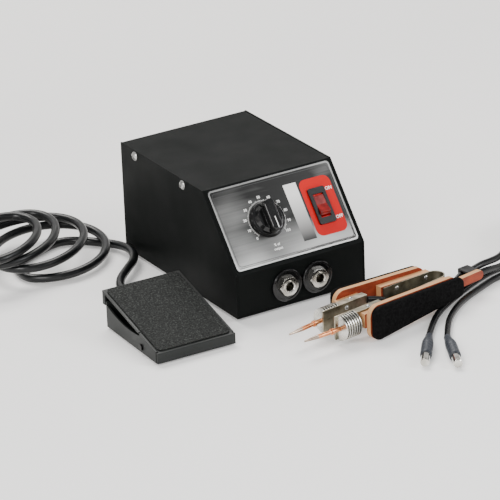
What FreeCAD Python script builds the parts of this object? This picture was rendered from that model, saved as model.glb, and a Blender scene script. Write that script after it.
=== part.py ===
import FreeCAD, Part
import math
import os

# Bench resistance soldering set: sloped power unit, foot switch on a cord, and a two-electrode
# tweezer handpiece with two plug-ended leads, laid out on one bench top.
# Millimetres. +X runs along the power unit's front to the right, -Y is its front, +Z is up.
# The origin is on the bench top, under the middle of the power unit.

V = FreeCAD.Vector
X_AXIS, Y_AXIS, Z_AXIS = V(1, 0, 0), V(0, 1, 0), V(0, 0, 1)

# Power unit case
UNIT_W, UNIT_D, UNIT_H = 140.0, 206.0, 109.0
STAND = 3.0                   # clearance under the case, the height of its rubber feet
FRONT_H, SLOPE_RUN = 42.0, 55.0
WALL_T, COVER_T, SEAM = 1.6, 1.4, 0.4
COVER_INSET, FLANGE = 0.3, 12.0
FRONT_Y = -UNIT_D / 2
TOP_Z, EDGE_Z = STAND + UNIT_H, STAND + FRONT_H
SLOPE = math.degrees(math.atan2(TOP_Z - EDGE_Z, SLOPE_RUN))
SCREW_Y, SCREW_Z = (-12.0, 76.5), TOP_Z - 5.8

# Sloped panel, in its own frame: x across, s up the slope from its lower edge, n outwards
PLATE_X, PLATE_S, PLATE_T = 66.0, (4.2, 84.6), 0.5
ROCKER_X, ROCKER_S = 41.4, 43.9
BEZEL_W, BEZEL_L = 17.9, 35.8
ROCKER_W, ROCKER_R, ROCKER_TILT, ROCKER_N = 11.0, 11.2, 10.0, -3.6
DIAL_X, DIAL_S, KNOB_R = -17.8, 44.8, 17.5
SHAFT_R, BUSH_R = 3.0, 4.7

# Back panel
FUSE_X, INLET_X, JACK_X, BACK_Z = -38.0, 0.0, 38.0, 36.0

# Transformer
CORE_X, CORE_Y, CORE_H = 48.0, (15.0, 65.0), 80.0
BOLT_SPOTS = [(x, y) for x in (-43, 43) for y in (20, 60)]

# Output sockets
SOCKET_X, SOCKET_Z = 16.5, 24.0
PIN_R, PIN_FIT = 4.0, 0.05
SOCKET_DEPTH = 24.0

# Foot switch, in its own frame: x across, y back from its front left corner
FOOT_AT, FOOT_YAW = V(-176.9, -140.8, 0), -2.0
FOOT_W, FOOT_L, FOOT_STAND = 80.0, 104.5, 1.7
FOOT_FRONT_Z, FOOT_RISE, FOOT_T = 12.0, 23.8, 1.6
FOOT_SLOPE = math.atan2(FOOT_RISE, FOOT_L)
HINGE_Y, HINGE_Z = 30.7, 7.0
GLAND_X, GLAND_Z, GLAND_L = 40.0, 10.2, 26.0
SPRING_AT, SWITCH_AT = (40.0, 62.0), (60.0, 72.0)

# Handpiece, in its own frame: u back along its middle, y across it, the near half at -y
HAND_AT, HAND_YAW = V(12.2, -182.8, 0), 8.7
BEND_U, FLARE = 93.0, 2.75    # the squeeze spring's bend, and how far each handle leans out
MID_Z = 17.0
LEAF_Y, LEAF_T, BLOCK_T, BOARD_T, FOAM_T = 8.1, 1.0, 7.0, 5.0, 6.0
LEAF_SPOTS = [(u, z) for u in (54.0, 89.0) for z in (12.0, 21.5)]
PLATE_Y, ARM_T = 7.3, 1.6
ARM_REAR, ARM_TOP, ARM_LOW = 15.5, 28.0, 5.0
SINK_U, FIN_COUNT, FIN_PITCH, FIN_T = -36.0, 7, 2.8, 1.0
ROD_R, ROD_Y, TIP_U, TIP_Y = 2.1, 13.0, -76.0, 10.3

# Cords
FOOT_CORD_R, LEAD_R = 4.2, 3.15
SLEEVE_R, SLEEVE_L, SLEEVE_TAPER, PIN_L = 5.4, 45.0, 24.0, 15.5
PLUG_L = 34.0                 # foot-switch plug

NODES = {}


def add(name, *shapes):
    """File one sub-part under its node name."""
    NODES[name] = shapes[0] if len(shapes) == 1 else Part.makeCompound(list(shapes))


def box(low, high):
    """Block between two corners."""
    return Part.makeBox(high[0] - low[0], high[1] - low[1], high[2] - low[2], V(*low))


def rod(start, axis, radius, length):
    """Round bar."""
    return Part.makeCylinder(radius, length, V(*start), axis)


def hexagon(start, axis, across_flats, length):
    """Hexagonal bar along an axis."""
    corner = across_flats / math.sqrt(3)
    points = [V(corner * math.cos(k * math.pi / 3), corner * math.sin(k * math.pi / 3), 0) for k in range(7)]
    bar = Part.Face(Part.makePolygon(points)).extrude(V(0, 0, length))
    bar.Placement = FreeCAD.Placement(V(*start), FreeCAD.Rotation(Z_AXIS, axis))
    return bar


def outline(points):
    """Closed wire through (point, corner radius) pairs, with tangent arcs at the corners."""
    edges = []
    count = len(points)
    for k in range(count):
        corner, radius = points[k]
        to_before = (points[k - 1][0] - corner).normalize()
        to_after = (points[(k + 1) % count][0] - corner).normalize()
        if radius > 0:
            half = to_before.getAngle(to_after) / 2
            first = corner + to_before * (radius / math.tan(half))
            last = corner + to_after * (radius / math.tan(half))
            inward = (to_before + to_after).normalize()
            middle = corner + inward * (radius / math.sin(half) - radius)
            edges.append((first, middle, last))
        else:
            edges.append((corner, None, corner))
    wire = []
    for k in range(count):
        first, middle, last = edges[k]
        if middle is not None:
            wire.append(Part.Arc(first, middle, last).toShape())
        wire.append(Part.LineSegment(last, edges[(k + 1) % count][0]).toShape())
    return Part.Wire(wire)


def plate(points, thickness):
    """Flat plate with a rounded outline."""
    return Part.Face(outline(points)).extrude(thickness)


def fuse(shapes):
    """One solid from touching shapes."""
    whole = shapes[0]
    for shape in shapes[1:]:
        whole = whole.fuse(shape)
    return whole.removeSplitter()


def cut(shape, tools):
    """Take tools away from a shape."""
    for tool in tools:
        shape = shape.cut(tool)
    return shape


def placed(shape, origin, rotation):
    """Move a shape from its own frame to the bench frame."""
    moved = shape.copy()
    moved.Placement = FreeCAD.Placement(origin, rotation).multiply(moved.Placement)
    return moved


def on_slope(shape):
    return placed(shape, V(0, FRONT_Y, EDGE_Z), FreeCAD.Rotation(X_AXIS, SLOPE))


def on_foot(shape):
    return placed(shape, FOOT_AT, FreeCAD.Rotation(Z_AXIS, FOOT_YAW))


def on_hand(shape):
    return placed(shape, HAND_AT, FreeCAD.Rotation(Z_AXIS, HAND_YAW))


# ---------------------------------------------------------------- power unit case

def side_profile(inset):
    """Face of the case's side view, drawn in by an inset."""
    corners = [
        (FRONT_Y, STAND),
        (FRONT_Y, EDGE_Z),
        (FRONT_Y + SLOPE_RUN, TOP_Z),
        (-FRONT_Y, TOP_Z),
        (-FRONT_Y, STAND),
    ]
    face = Part.Face(Part.makePolygon([V(0, y, z) for y, z in corners + corners[:1]]))
    return face.makeOffset2D(-inset, 2) if inset else face


def across(face, x_low, x_high):
    """Extrude a side view between two x positions."""
    solid = face.copy()
    solid.translate(V(x_low, 0, 0))
    return solid.extrude(V(x_high - x_low, 0, 0))


def side_screw_holes(radius):
    return [rod((-UNIT_W, y, SCREW_Z), X_AXIS, radius, 2 * UNIT_W) for y in SCREW_Y]


def make_case():
    half = UNIT_W / 2
    walls = [across(side_profile(0), -half, -half + WALL_T), across(side_profile(0), half - WALL_T, half)]
    floor = box((-half, FRONT_Y, STAND), (half, -FRONT_Y, STAND + WALL_T))
    bolt_holes = [rod((x, y, 0), Z_AXIS, 2.2, 10) for x, y in BOLT_SPOTS]
    add("case_base", cut(fuse(walls + [floor]), side_screw_holes(2.2) + bolt_holes))

    end = half - WALL_T - SEAM
    below = box((-half, -UNIT_D, 0), (half, UNIT_D, STAND + WALL_T + 0.2))
    skin = across(side_profile(COVER_INSET), -end, end)
    skin = skin.cut(across(side_profile(COVER_INSET + COVER_T), -end, end))
    flange_face = side_profile(COVER_INSET).cut(side_profile(FLANGE))
    flanges = [across(flange_face, -end, -end + COVER_T), across(flange_face, end - COVER_T, end)]
    cover = fuse([skin] + flanges).cut(below)
    rocker_hole = box((ROCKER_X - 7.8, ROCKER_S - 17, -10), (ROCKER_X + 7.8, ROCKER_S + 17, 5))
    panel_holes = [on_slope(rocker_hole), on_slope(rod((DIAL_X, DIAL_S, -10), Z_AXIS, BUSH_R + 0.1, 20))]
    socket_holes = [rod((x, FRONT_Y - 5, SOCKET_Z), Y_AXIS, 8.3, 12) for x in (-SOCKET_X, SOCKET_X)]
    back_holes = [
        rod((FUSE_X, -FRONT_Y - 10, BACK_Z), Y_AXIS, 6.2, 20),
        box((INLET_X - 10, -FRONT_Y - 10, BACK_Z - 13.5), (INLET_X + 10, -FRONT_Y + 10, BACK_Z + 13.5)),
        rod((JACK_X, -FRONT_Y - 10, BACK_Z), Y_AXIS, 8.1, 20),
    ]
    add("case_cover", cut(cover, panel_holes + socket_holes + back_holes + side_screw_holes(1.95)))


def make_screws_and_feet():
    screws = []
    for side in (-1, 1):
        for y in SCREW_Y:
            x = side * UNIT_W / 2
            head = Part.makeSphere(5.4, V(x - side * 2.8, y, SCREW_Z))
            head = head.common(rod((x, y, SCREW_Z), X_AXIS * side, 4.45, 3))
            shank = rod((x, y, SCREW_Z), X_AXIS * -side, 1.9, 8)
            recess = [
                box((x - 6, y - 0.5, SCREW_Z - 2.2), (x + 6, y + 0.5, SCREW_Z + 2.2)),
                box((x - 6, y - 2.2, SCREW_Z - 0.5), (x + 6, y + 2.2, SCREW_Z + 0.5)),
            ]
            slab = rod((x + side * 1.2, y, SCREW_Z), X_AXIS * side, 4, 3)
            cross = fuse(recess).common(slab)
            screws.append(fuse([head, shank]).cut(cross))
    add("case_screws", *screws)

    feet = [rod((x, y, 0), Z_AXIS, 6.5, STAND) for x in (-57, 57) for y in (-88, 88)]
    feet += [
        on_foot(rod((x, y, 0), Z_AXIS, 5.0, FOOT_STAND)) for x in (10, FOOT_W - 10) for y in (14, 88)
    ]
    add("rubber_feet", *feet)


# ---------------------------------------------------------------- sloped panel

def make_panel():
    low, high = PLATE_S
    corner_r = 3.0
    corners = [(-PLATE_X, low), (PLATE_X, low), (PLATE_X, high), (-PLATE_X, high)]
    sheet = plate([(V(x, s, -COVER_INSET), corner_r) for x, s in corners], V(0, 0, PLATE_T))
    window = box((ROCKER_X - 7.8, ROCKER_S - 17, -5), (ROCKER_X + 7.8, ROCKER_S + 17, 5))
    add("name_plate", on_slope(cut(sheet, [window, rod((DIAL_X, DIAL_S, -5), Z_AXIS, 5.2, 10)])))

    face = PLATE_T - COVER_INSET
    bezel_points = [
        (V(ROCKER_X + sx * BEZEL_W / 2, ROCKER_S + sy * BEZEL_L / 2, face), 2.0)
        for sx, sy in ((-1, -1), (1, -1), (1, 1), (-1, 1))
    ]
    bezel = plate(bezel_points, V(0, 0, 2.0))
    shell = box((ROCKER_X - 7.5, ROCKER_S - 16.6, -26), (ROCKER_X + 7.5, ROCKER_S + 16.6, face))
    well = box(
        (ROCKER_X - ROCKER_W / 2 - 0.1, ROCKER_S - ROCKER_R - 0.5, -12.5),
        (ROCKER_X + ROCKER_W / 2 + 0.1, ROCKER_S + ROCKER_R + 0.5, 9),
    )
    pivot = rod((ROCKER_X - 7, ROCKER_S, ROCKER_N), X_AXIS, 1.25, 14)
    tabs = [
        box((ROCKER_X + x - 2.4, ROCKER_S + s - 0.4, -34), (ROCKER_X + x + 2.4, ROCKER_S + s + 0.4, -26))
        for x in (-3.6, 3.6) for s in (-9, 0)
    ]
    add("rocker_housing", on_slope(cut(fuse([bezel, shell] + tabs), [well, pivot])))

    # The rocker's two faces rise from its middle; at rest its upper end is pressed in.
    reach = ROCKER_R
    rise = reach * math.tan(math.radians(ROCKER_TILT))
    points = [(-reach, 5.6 + rise), (0, 5.6), (reach, 5.6 + rise), (reach, -4.2), (-reach, -4.2)]
    side = Part.Face(Part.makePolygon([V(-ROCKER_W / 2 + 0.2, s, n) for s, n in points + points[:1]]))
    paddle = side.extrude(V(ROCKER_W - 0.4, 0, 0))
    drum = rod((-ROCKER_W, 0, 0), X_AXIS, ROCKER_R, 2 * ROCKER_W)
    trunnion = rod((-6.9, 0, 0), X_AXIS, 1.2, 13.8)
    paddle = fuse([paddle.common(drum), trunnion])
    tilt = FreeCAD.Rotation(X_AXIS, -ROCKER_TILT)
    add("rocker", on_slope(placed(paddle, V(ROCKER_X, ROCKER_S, ROCKER_N), tilt)))


def make_power_control():
    skin_back = -COVER_INSET - COVER_T
    face = PLATE_T - COVER_INSET
    can = rod((DIAL_X, DIAL_S, skin_back - 11), Z_AXIS, 12.0, 11)
    bush = rod((DIAL_X, DIAL_S, skin_back), Z_AXIS, BUSH_R, 8.0)
    tags = [
        box((DIAL_X + x - 1, DIAL_S - 18, skin_back - 10), (DIAL_X + x + 1, DIAL_S - 11, skin_back - 9.2))
        for x in (-5, 0, 5)
    ]
    bore = rod((DIAL_X, DIAL_S, skin_back - 9), Z_AXIS, SHAFT_R + 0.05, 30)
    add("control_body", on_slope(fuse([can, bush] + tags).cut(bore)))
    nut = hexagon((DIAL_X, DIAL_S, face), Z_AXIS, 12.0, 2.4)
    add("control_nut", on_slope(nut.cut(rod((DIAL_X, DIAL_S, face - 1), Z_AXIS, BUSH_R, 5))))
    add("control_shaft", on_slope(rod((DIAL_X, DIAL_S, skin_back - 8.6), Z_AXIS, SHAFT_R, 24.0)))

    # Knob: a low round skirt with a tall pointer bar standing across it.
    skirt = Part.makeCone(KNOB_R, KNOB_R - 1.4, 4.2, V(0, 0, 0))
    dome = Part.makeCone(KNOB_R - 3.4, KNOB_R - 5.6, 4.0, V(0, 0, 4.2))
    bar_points = [
        (V(sx * 5.6, sy * 15.6, 4.2), 5.0) for sx, sy in ((-1, -1), (1, -1), (1, 1), (-1, 1))
    ]
    bar = plate(bar_points, V(0, 0, 11.6))
    bar = bar.makeFillet(1.6, [e for e in bar.Edges if e.CenterOfMass.z > 15.7])
    socket = rod((0, 0, -1), Z_AXIS, SHAFT_R, 14.6)
    nut_room = rod((0, 0, -1), Z_AXIS, 8.2, 6.8)
    knob = cut(fuse([skirt, dome, bar]), [socket, nut_room])
    add("control_knob", on_slope(placed(knob, V(DIAL_X, DIAL_S, face + 0.8), FreeCAD.Rotation())))


# ---------------------------------------------------------------- output sockets

def make_sockets():
    bushings, nuts, washers, straps = [], [], [], []
    skin_front = FRONT_Y + COVER_INSET
    skin_back = skin_front + COVER_T
    for x in (-SOCKET_X, SOCKET_X):
        outer = rod((x, skin_front - 3.2, SOCKET_Z), Y_AXIS, 15.8, 3.2)
        rim = [e for e in outer.Edges if e.CenterOfMass.y < skin_front - 3]
        outer = outer.makeChamfer(0.7, rim)
        dish = rod((x, skin_front - 3.4, SOCKET_Z), Y_AXIS, 13.6, 0.9)
        shoulder = rod((x, skin_front, SOCKET_Z), Y_AXIS, 8.1, COVER_T)
        through = rod((x, skin_front - 9, SOCKET_Z), Y_AXIS, 6.0, 30)
        washers.append(cut(fuse([outer, shoulder]), [dish, through]))
        washers.append(rod((x, skin_back, SOCKET_Z), Y_AXIS, 12.5, 2.0).cut(through))

        body = rod((x, skin_front - 8.0, SOCKET_Z), Y_AXIS, 6.0, 36.0)
        bore = rod((x, skin_front - 8.0, SOCKET_Z), Y_AXIS, PIN_R + PIN_FIT, SOCKET_DEPTH)
        lead_in = Part.makeCone(5.0, 4.0, 1.0, V(x, skin_front - 8.0, SOCKET_Z), Y_AXIS)
        bushings.append(cut(body, [bore, lead_in]))

        for y, thick in ((skin_front - 6.7, 4.2), (skin_back + 2.0, 4.0), (skin_back + 8.0, 4.0)):
            nut = hexagon((x, y, SOCKET_Z), Y_AXIS, 17.5, thick).cut(through)
            ball = Part.makeSphere(10.9, V(x, y + 6.0, SOCKET_Z))
            nuts.append(nut.common(ball) if y < skin_front else nut)

        lug = rod((x, skin_back + 6.0, SOCKET_Z), Y_AXIS, 10.0, 2.0)
        riser = box((x - 6, skin_back + 6.0, SOCKET_Z), (x + 6, skin_back + 8.0, 50.0))
        runner = box((x - 6, skin_back + 6.0, 48.0), (x + 6, -0.3, 50.0))
        straps.append(fuse([lug, riser, runner]).cut(through))
    add("socket_bushings", *bushings)
    add("socket_nuts", *nuts)
    add("socket_washers", *washers)
    add("secondary_straps", *straps)


# ---------------------------------------------------------------- inside the power unit

def make_transformer():
    floor = STAND + WALL_T
    y_low, y_high = CORE_Y
    block = box((-CORE_X, y_low, floor), (CORE_X, y_high, floor + CORE_H))
    windows = [
        box((x, y_low - 1, floor + 16), (x + 16, y_high + 1, floor + CORE_H - 16)) for x in (-32, 16)
    ]
    bolt_bores = [rod((x, y, 0), Z_AXIS, 2.2, 120) for x, y in BOLT_SPOTS]
    add("transformer_core", cut(block, windows + bolt_bores))

    coil = box((-31.5, y_low - 15, floor + 16.5), (31.5, y_high + 15, floor + CORE_H - 16.5))
    leg = box((-16.3, y_low - 0.3, floor), (16.3, y_high + 0.3, floor + CORE_H))
    add("transformer_winding", coil.cut(leg))

    bolts = []
    for x, y in BOLT_SPOTS:
        head = rod((x, y, STAND - 2.2), Z_AXIS, 4.0, 2.2)
        shank = rod((x, y, STAND), Z_AXIS, 2.0, WALL_T + CORE_H + 6)
        nut = hexagon((x, y, floor + CORE_H), Z_AXIS, 7.0, 3.2)
        bolts.append(fuse([head, shank, nut]))
    add("transformer_bolts", *bolts)


def make_board():
    floor = STAND + WALL_T
    level = floor + 8
    low, high = (-58, -78), (-4, -24)
    posts = [
        rod((x, y, floor), Z_AXIS, 3.0, 8)
        for x in (low[0] + 5, high[0] - 5) for y in (low[1] + 5, high[1] - 5)
    ]
    card = box((low[0], low[1], level), (high[0], high[1], level + 1.6))
    top = level + 1.6
    relay = box((-52, -50, top), (-33, -34, top + 14))
    blocks = [box((-54 + 11 * k, -72, top), (-45 + 11 * k, -63, top + 9)) for k in range(4)]
    capacitor = rod((-14, -36, top), Z_AXIS, 5.0, 13)
    cooler = box((-27, -56, top), (-24.5, -36, top + 18))
    add("control_board", card, relay, capacitor, cooler, *(blocks + posts))


def make_back_fittings():
    skin_out = -FRONT_Y - COVER_INSET
    skin_in = skin_out - COVER_T
    holder = rod((FUSE_X, skin_in - 30, BACK_Z), Y_AXIS, 6.0, 30 + COVER_T)
    cap = rod((FUSE_X, skin_out, BACK_Z), Y_AXIS, 8.0, 9.0)
    cap = cap.makeFillet(1.0, [e for e in cap.Edges if e.CenterOfMass.y > skin_out + 8])
    slot = box((FUSE_X - 5, skin_out + 7.5, BACK_Z - 0.7), (FUSE_X + 5, skin_out + 10, BACK_Z + 0.7))
    add("fuse_holder", fuse([holder, cap]).cut(slot))

    flange_points = [
        (V(INLET_X + sx * 15, skin_out, BACK_Z + sz * 23), 4.0)
        for sx, sz in ((-1, -1), (1, -1), (1, 1), (-1, 1))
    ]
    flange = plate(flange_points, V(0, 2.5, 0))
    shell = box((INLET_X - 9.8, skin_out - 20, BACK_Z - 13.3), (INLET_X + 9.8, skin_out + 3, BACK_Z + 13.3))
    well = box((INLET_X - 8.3, skin_out - 16, BACK_Z - 11.8), (INLET_X + 8.3, skin_out + 9, BACK_Z + 11.8))
    blades = [
        box((INLET_X + x - 1, skin_out - 16, BACK_Z + z - 2), (INLET_X + x + 1, skin_out - 6, BACK_Z + z + 2))
        for x, z in ((2, 0), (-2, 7), (-2, -7))
    ]
    inlet_screws = [screw((INLET_X, skin_out + 2.5, BACK_Z + z), Y_AXIS, 2.8, 2.4) for z in (-19, 19)]
    bores = [rod((INLET_X, skin_out - 1, BACK_Z + z), Y_AXIS, 1.4, 6) for z in (-19, 19)]
    add("mains_inlet", cut(fuse([flange, shell]), [well] + bores), *(blades + inlet_screws))

    collar = rod((JACK_X, skin_out, BACK_Z), Y_AXIS, 10.5, 2.5)
    shell = rod((JACK_X, skin_in - 20, BACK_Z), Y_AXIS, 8.0, 28.0)
    well = rod((JACK_X, skin_in - 7, BACK_Z), Y_AXIS, 6.3, 40)
    chamber = rod((JACK_X, skin_in - 14, BACK_Z), Y_AXIS, 4.5, 10)
    contacts = [
        rod((JACK_X + 2.6 * math.cos(a), skin_in - 14, BACK_Z + 2.6 * math.sin(a)), Y_AXIS, 0.8, 6)
        for a in (math.pi / 2, math.pi * 7 / 6, math.pi * 11 / 6)
    ]
    add("foot_switch_socket", cut(fuse([collar, shell]), [well, chamber]), *contacts)


# ---------------------------------------------------------------- foot switch

def tread_z(y):
    """Height of the treadle's top face, y back from its front edge."""
    return FOOT_FRONT_Z + FOOT_RISE * y / FOOT_L


def make_foot_base():
    low, thick = FOOT_STAND, 1.8
    back, step_y, rear_z = 98.0, 34.0, 24.0
    floor = box((0, 3.2, low), (FOOT_W, back, low + FOOT_T))
    start = V(0, 3.2, tread_z(3.2))
    flush = V(0, step_y, tread_z(step_y))
    step = V(0, step_y, 17.0)
    end = V(0, back, rear_z)
    edges = [
        Part.LineSegment(V(0, 3.2, low), start).toShape(),
        Part.LineSegment(start, flush).toShape(),
        Part.LineSegment(flush, step).toShape(),
        Part.Arc(step, V(0, 72, 17.0), end).toShape(),
        Part.LineSegment(end, V(0, back, low)).toShape(),
        Part.LineSegment(V(0, back, low), V(0, 3.2, low)).toShape(),
    ]
    left = Part.Face(Part.Wire(edges)).extrude(V(thick, 0, 0))
    right = left.copy()
    right.translate(V(FOOT_W - thick, 0, 0))
    rear = box((0, back - thick, low), (FOOT_W, back, rear_z))
    holes = [
        rod((-5, HINGE_Y, HINGE_Z), X_AXIS, 2.03, FOOT_W + 10),
        rod((GLAND_X, back - 10, GLAND_Z), Y_AXIS, 6.2, 20),
    ]
    add("foot_base", on_foot(cut(fuse([floor, left, right, rear]), holes)))

    pin = rod((-0.2, HINGE_Y, HINGE_Z), X_AXIS, 2.0, FOOT_W + 0.4)
    heads = [
        rod((-1.6, HINGE_Y, HINGE_Z), X_AXIS, 3.1, 1.5),
        rod((FOOT_W + 0.1, HINGE_Y, HINGE_Z), X_AXIS, 3.1, 1.5),
    ]
    add("pivot_pin", on_foot(fuse([pin] + heads)))


def make_treadle():
    run = math.hypot(FOOT_L, FOOT_RISE)
    side_gap, notch_end = 2.1, 36.0
    lean = FreeCAD.Rotation(X_AXIS, math.degrees(FOOT_SLOPE))

    def tilted(shape):
        return placed(shape, V(0, 0, FOOT_FRONT_Z), lean)

    top = box((0, 0, -FOOT_T), (FOOT_W, run, 0))
    notches = [
        box((-1, FOOT_T, -5), (side_gap, notch_end, 5)),
        box((FOOT_W - side_gap, FOOT_T, -5), (FOOT_W + 1, notch_end, 5)),
    ]
    top = tilted(cut(top, notches))
    front = box((0, 0, FOOT_STAND + 0.2), (FOOT_W, FOOT_T, FOOT_FRONT_Z - 0.6))
    front_top = FOOT_FRONT_Z + FOOT_RISE
    rear = box((0, FOOT_L - FOOT_T, front_top - 13.4), (FOOT_W, FOOT_L, front_top - 0.5))
    tabs = [
        box((x, FOOT_L - 4.8, front_top - 13.4), (x + FOOT_T, FOOT_L, front_top - 2.5))
        for x in (0, FOOT_W - FOOT_T)
    ]
    lugs = []
    for x in (2.3, FOOT_W - 3.9):
        lug = box((x, HINGE_Y - 3.1, HINGE_Z), (x + FOOT_T, HINGE_Y + 3.1, tread_z(HINGE_Y - 3.1) - 0.1))
        lugs.append(fuse([lug, rod((x, HINGE_Y, HINGE_Z), X_AXIS, 3.1, FOOT_T)]))
    body = fuse([top, front, rear] + tabs + lugs)
    add("treadle", on_foot(body.cut(rod((-5, HINGE_Y, HINGE_Z), X_AXIS, 2.05, FOOT_W + 10))))

    rim = 2.6
    pad_corners = [(rim, rim), (FOOT_W - rim, rim), (FOOT_W - rim, run - 1.8), (rim, run - 1.8)]
    pad = plate([(V(x, y, 0), 5.0) for x, y in pad_corners], V(0, 0, 1.2))
    add("treadle_pad", on_foot(tilted(pad)))


def make_foot_inside():
    floor = FOOT_STAND + FOOT_T
    sx, sy = SPRING_AT
    wire_r, coil_r, coils = 0.6, 5.0, 6
    height = tread_z(sy) - FOOT_T - floor - 3.2
    path = Part.makeHelix(height / coils, height, coil_r)
    ring = Part.Wire(Part.makeCircle(wire_r, V(coil_r, 0, 0), Y_AXIS))
    spring = Part.Wire(path).makePipeShell([ring], True, True)
    spring.translate(V(sx, sy, floor + wire_r + 0.3))
    add("return_spring", on_foot(spring))

    wx, wy = SWITCH_AT
    body = box((wx - 8, wy - 8, floor), (wx + 8, wy + 8, 18))
    add("foot_switch_body", on_foot(body.cut(rod((wx, wy, 9), Z_AXIS, 2.5, 20))))
    top = tread_z(wy) - FOOT_T - 0.4
    stem = rod((wx, wy, 14.0), Z_AXIS, 2.4, top - 2.4 - 14.0)
    add("foot_switch_plunger", on_foot(fuse([stem, Part.makeSphere(2.4, V(wx, wy, top - 2.4))])))

    back = 98.0
    inner_nut = hexagon((GLAND_X, back - 5.8, GLAND_Z), Y_AXIS, 13.0, 4.0)
    neck = rod((GLAND_X, back - 1.8, GLAND_Z), Y_AXIS, 6.1, 1.8)
    collar = rod((GLAND_X, back, GLAND_Z), Y_AXIS, 7.2, 3.0)
    taper = Part.makeCone(6.6, FOOT_CORD_R + 0.5, GLAND_L - 3.0, V(GLAND_X, back + 3.0, GLAND_Z), Y_AXIS)
    add("foot_cord_gland", on_foot(fuse([inner_nut, neck, collar, taper])))


# ---------------------------------------------------------------- handpiece

def flared(shape):
    """Lean a handle piece out about the squeeze spring's bend."""
    pivot = FreeCAD.Placement(V(0, 0, 0), FreeCAD.Rotation(Z_AXIS, FLARE), V(BEND_U, 0, 0))
    leaning = shape.copy()
    leaning.Placement = pivot.multiply(leaning.Placement)
    return leaning


def upright(points, y, thickness):
    """Plate standing on edge: (u, z, corner radius) points, from y out to y - thickness."""
    return plate([(V(u, y, z), r) for u, z, r in points], V(0, -thickness, 0))


def handle_low(u):
    """Height of the handle's lower edge, which rises towards the back."""
    return 0.3 + 0.072 * (u + 12)


def handle_high(u):
    """Height of the handle's upper edge, which falls towards the back."""
    return 33.8 - 0.045 * (u + 12)


def handle_layers(board_back, foam_back, has_tab):
    """Board and foam pad of one handle, near side, before it leans out."""
    board_y = -LEAF_Y - LEAF_T - BLOCK_T
    front, neck = -12.0, 100.0
    rear = neck if has_tab else board_back
    points = [
        (front, handle_low(front), 9.0),
        (rear, handle_low(rear), 8.0),
        (rear, handle_high(rear), 8.0),
        (front, handle_high(front), 10.0),
    ]
    board = upright(points, board_y, BOARD_T)
    if has_tab:
        tab = [(neck - 12, 14.5, 0), (board_back, 14.5, 4.3), (board_back, 23.4, 4.3), (neck - 12, 23.4, 0)]
        board = fuse([board, upright(tab, board_y, BOARD_T)])
    start = front + 1.2
    pad_points = [
        (start, handle_low(start), 7.0),
        (foam_back, handle_low(foam_back) + 0.2, 6.0),
        (foam_back, handle_high(foam_back) - 0.6, 7.0),
        (start, handle_high(start) - 0.4, 7.0),
    ]
    foam = upright(pad_points, board_y - BOARD_T, FOAM_T)
    outer = [e for e in foam.Edges if e.CenterOfMass.y < board_y - BOARD_T - FOAM_T + 0.01]
    return board, foam.makeFillet(2.4, outer)


def screw(at, axis, head_r=2.3, shank=6.0):
    """Small round-headed screw; axis points out of its head."""
    start = V(*at)
    head = Part.makeSphere(head_r * 1.15, start - axis * (head_r * 0.55))
    head = head.common(Part.makeCylinder(head_r, head_r, start, axis))
    driver = Part.makeBox(0.5, 2.0 * head_r, head_r)
    driver.translate(V(-0.25, -head_r, 0.75 * head_r * 0.6))
    driver.Placement = FreeCAD.Placement(start, FreeCAD.Rotation(Z_AXIS, axis)).multiply(driver.Placement)
    return fuse([head.cut(driver), Part.makeCylinder(head_r * 0.5, shank, start, axis * -1)])


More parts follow.
